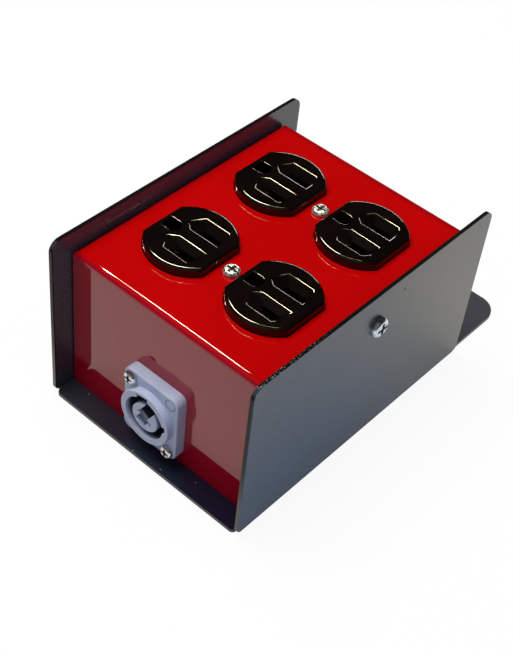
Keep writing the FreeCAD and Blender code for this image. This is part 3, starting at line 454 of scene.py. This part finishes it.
def make_floor():
    """A wide pale floor that keeps a soft shadow, bright round the box and dim far in front of it."""
    mesh = bpy.data.meshes.new("floor")
    corners = [(x * FLOOR_HALF, y * FLOOR_HALF, 0) for x, y in FLOOR_CORNERS]
    mesh.from_pydata(corners, [], [(0, 1, 2, 3)])
    floor = bpy.data.objects.new("floor", mesh)
    floor.location.z = -FLOOR_DROP
    bpy.context.scene.collection.objects.link(floor)
    finish = new_finish("floor_paper")
    x, y, _ = finish.axes()
    fibre = finish.noise(60 * MM, 3)
    seen = finish.ray("Camera")
    mirrored = finish.ray("Glossy").high(finish.ray("Transmission"))
    # Parts of the floor, in metres from the middle of the box.
    close = y.between(-0.26, -0.19)
    behind = y.between(-0.03, 0.10)
    beside = x.between(0.03, 0.06)
    base = finish.blend(fibre, (0.30, 0.30, 0.31), (0.34, 0.34, 0.35))
    base = finish.blend(mirrored * close, base, (0.95, 0.92, 0.87))
    base = finish.blend(seen, base, (0.97, 0.97, 0.97))
    paper = finish.node("BsdfDiffuse", sockets={"Color": base})
    # In reflections only, the floor near the box glows: painted warm light, with painted blue shade to the
    # right of the box.
    tint = finish.blend(beside, (0.92, 0.76, 0.62), (0.42, 0.66, 1.0))
    tint = finish.blend(behind, tint, (1.0, 0.95, 0.86))
    glow = finish.node("Emission", sockets={"Color": tint, "Strength": 1.0})
    clear = finish.node("Emission", sockets={"Color": (1, 1, 1, 1), "Strength": 1.0})
    glowing = mirrored * close * (behind * 0.12 + 0.32)
    under = finish.node("MixShader", sockets={0: glowing, 1: paper, 2: glow})
    both = finish.node("MixShader", sockets={0: seen * 0.92, 1: under, 2: clear})
    finish.node("OutputMaterial", sockets={"Surface": both})
    mesh.materials.append(finish.owner)


def make_room():
    """White behind the object; round it cool soft light on surfaces, and a dim warm room in reflections."""
    world = bpy.data.worlds.new("room")
    bpy.context.scene.world = world
    finish = Finish(world, "Generated")
    seen = finish.ray("Camera")
    spread = finish.ray("Diffuse")
    above = finish.toward((0.15, -0.25, 0.95))
    side = finish.toward((0.98, 0, 0.2))
    front = finish.toward((0.2, -0.78, 0.59))
    fill = above.between(0.25, 1.0, 0.12, 0.78) + side.between(0.2, 1.0, 0.0, 0.3)
    level = (spread * fill).high(front.between(0.55, 1.0, 0.02, 0.16)).high(seen)
    tint = finish.blend(spread, (1.0, 0.92, 0.82), (0.62, 0.78, 1.0))
    tint = finish.blend(seen, tint, (1.0, 1.0, 1.0))
    back = finish.node("Background", sockets={"Color": tint, "Strength": level})
    finish.node("OutputWorld", sockets={"Surface": back})


def make_light(name, power, size, at, aim, tint, mirrored=True):
    """A rectangular lamp that faces a point, with its width as nearly along X as it can be."""
    lamp = bpy.data.lights.new(name, "AREA")
    lamp.energy = power
    lamp.shape = "RECTANGLE"
    lamp.size, lamp.size_y = size
    lamp.color = tint
    light = bpy.data.objects.new(name, lamp)
    light.location = at
    back = (Vector(at) - Vector(aim)).normalized()
    along = (Vector((1, 0, 0)) - back * back.x).normalized()
    light.rotation_euler = Matrix((along, back.cross(along), back)).transposed().to_euler()
    light.visible_glossy = mirrored
    bpy.context.scene.collection.objects.link(light)
    return light


GLINT_AIM = (0, 0, 60 * MM)


def make_glint(name, power, size, at, tint, prefixes):
    """A small lamp that only shows as a glint in the polished pieces whose names start as given."""
    light = make_light(name, power, size, at, GLINT_AIM, tint)
    light.visible_diffuse = False
    polished = bpy.data.collections.new(name)
    for piece, node in frame["nodes"].items():
        if piece.startswith(prefixes):
            polished.objects.link(node)
    light.light_linking.receiver_collection = polished


# The photograph's viewpoint, fitted to the box's edges: metres, and degrees about X, Y and Z.
CAMERA_AT = (0.209376, -0.283348, 0.372085)
CAMERA_TURNS = (45.0700, -4.9307, 41.9428)


def make_camera():
    lens = bpy.data.cameras.new("camera")
    lens.sensor_width = 36
    lens.lens = 72.28
    lens.clip_start = 0.01
    camera = bpy.data.objects.new("camera", lens)
    camera.location = CAMERA_AT
    camera.rotation_euler = Euler([math.radians(turn) for turn in CAMERA_TURNS], "XYZ")
    bpy.context.scene.collection.objects.link(camera)
    bpy.context.scene.camera = camera


OUTLETS = ("front_outlet_", "rear_outlet_")

# Each glint: name, watts, width and height, place, tint, and the pieces that show it.
GLINTS = (
    ("bend_glint", 24, (1.6, 0.06), (-0.70, 0.31, 1.28), (1.0, 0.92, 0.74), ("top_cover",)),
    ("face_glint", 20, (0.36, 0.2), (-0.68, 0.48, 1.25), (1.0, 0.94, 0.64), ("side_", "link_", *OUTLETS)),
    ("pocket_glow", 0.7, (0.9, 0.4), (-0.62, 0.06, 1.50), (1.0, 0.82, 0.34), OUTLETS),
    ("pocket_glint", 5.0, (0.9, 0.09), (-0.50, 0.30, 1.45), (1.0, 0.90, 0.42), OUTLETS),
    ("far_glint", 4.5, (0.45, 0.15), (-0.62, 1.15, 0.66), (1.0, 0.95, 0.82), ("side_", *OUTLETS)),
)

make_camera()
make_floor()
make_room()
make_light("key", 12.2, (0.8, 0.8), (-0.34, -0.08, 1.15), (0, 0, 0), (1.0, 0.92, 0.80), mirrored=False)
for glint in GLINTS:
    make_glint(*glint)
bpy.context.scene.view_settings.view_transform = "Standard"
